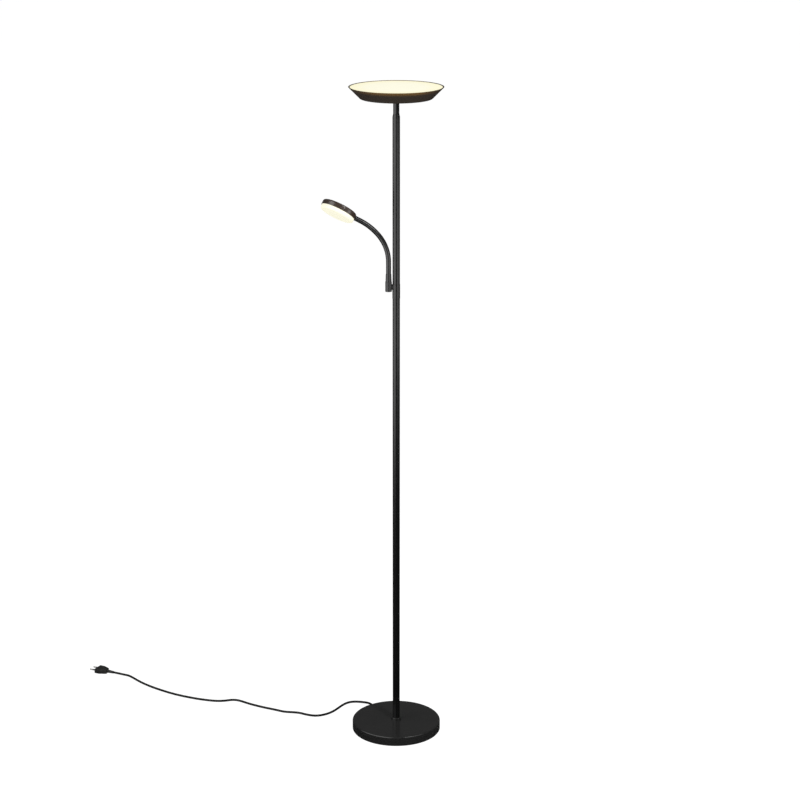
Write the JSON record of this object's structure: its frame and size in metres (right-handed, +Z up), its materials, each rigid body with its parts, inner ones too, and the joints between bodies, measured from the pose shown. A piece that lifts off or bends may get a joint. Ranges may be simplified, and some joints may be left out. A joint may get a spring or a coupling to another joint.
{
  "type": "torchiere floor lamp",
  "caption": "Slim black torchiere floor lamp: round weighted base, straight pole, shallow uplight bowl with a flush diffuser and a disc reading light on a flexible side neck.",
  "frame": {"origin": "centre of the round base, on the floor under its pad", "axes": "+Z up the pole; the reading arm leaves the pole along -X; -Y is towards the viewer of the picture"},
  "size_m": [1.0397, 0.5321, 1.8],
  "materials": {
    "black_paint": "satin",
    "black_gloss": "gloss",
    "neck_skin": "satin",
    "reading_case": "satin",
    "opal": "matte",
    "pad": "matte",
    "weight_iron": "matte",
    "zinc_steel": "satin",
    "plain_aluminium": "satin",
    "white_board": "satin",
    "green_board": "satin",
    "led": "gloss",
    "driver_plastic": "matte",
    "winding_tape": "satin",
    "white_plastic": "satin",
    "lead_sheath": "satin",
    "cord_sheath": "satin",
    "plug_plastic": "satin",
    "pin_plate": "polished"
  },
  "bodies": {
    "stand": {"arm_connector": "black_paint", "arm_holder": "black_paint", "arm_lead": "lead_sheath", "arm_stub": "black_paint", "base_cover": "black_paint", "base_pad": "pad", "base_plate": "zinc_steel", "base_weight": "weight_iron", "cord_clamp": "white_plastic", "cord_grip": "cord_sheath", "driver_board": "green_board", "driver_capacitor": "plain_aluminium", "driver_case": "driver_plastic", "driver_lid": "driver_plastic", "driver_transformer": "winding_tape", "foot_nipple": "zinc_steel", "foot_nut": "zinc_steel", "foot_plug": "plain_aluminium", "foot_ring": "black_paint", "foot_washer": "zinc_steel", "head_board_screws": "zinc_steel", "head_bowl": "black_paint", "head_diffuser": "opal", "head_lead": "lead_sheath", "head_led_board": "white_board", "head_leds": "led", "head_nut": "zinc_steel", "head_terminal": "white_plastic", "head_washer": "zinc_steel", "heat_spreader": "plain_aluminium", "mains_cord": "cord_sheath", "mains_tail": "cord_sheath", "neck_ferrule": "black_gloss", "neck_foot": "neck_skin", "plate_screws": "zinc_steel", "plug_body": "plug_plastic", "plug_pins": "pin_plate", "pole_coupler": "plain_aluminium", "pole_lower": "black_paint", "pole_middle": "black_paint", "pole_top_bush": "black_paint", "pole_upper": "black_paint", "stem_nipple": "zinc_steel", "stem_plug": "plain_aluminium", "stem_tube": "black_gloss"},
    "neck_1": {"neck_link_1": "neck_skin"},
    "neck_2": {"neck_link_2": "neck_skin"},
    "neck_3": {"neck_link_3": "neck_skin"},
    "neck_4": {"neck_link_4": "neck_skin"},
    "neck_5": {"neck_end": "neck_skin", "neck_clip": "zinc_steel"},
    "reading_head": {"reading_casing": "reading_case", "reading_board": "white_board", "reading_leds": "led", "reading_screws": "zinc_steel", "reading_diffuser": "opal"}
  },
  "joints": [
    {"name": "neck_sway", "type": "hinge", "parent": "stand", "child": "neck_1", "pos_m": [-0.0203, 0, 1.3201], "axis": [1, 0, 0], "range_deg": [-30, 30]},
    {"name": "neck_bend_1", "type": "hinge", "parent": "neck_1", "child": "neck_2", "pos_m": [-0.02114, 0, 1.35207], "axis": [0, -1, 0], "range_deg": [-13, 20]},
    {"name": "neck_bend_2", "type": "hinge", "parent": "neck_2", "child": "neck_3", "pos_m": [-0.0299, 0, 1.38376], "axis": [0, -1, 0], "range_deg": [-13, 20]},
    {"name": "neck_bend_3", "type": "hinge", "parent": "neck_3", "child": "neck_4", "pos_m": [-0.04682, 0, 1.41079], "axis": [0, -1, 0], "range_deg": [-13, 20]},
    {"name": "neck_bend_4", "type": "hinge", "parent": "neck_4", "child": "neck_5", "pos_m": [-0.06736, 0, 1.4312], "axis": [0, -1, 0], "range_deg": [-13, 20]},
    {"name": "reading_turn", "type": "hinge", "parent": "neck_5", "child": "reading_head", "pos_m": [-0.10725, 0, 1.45578], "axis": [-0.8862, 0, 0.4633], "range_deg": [-67, 23]}
  ]
}
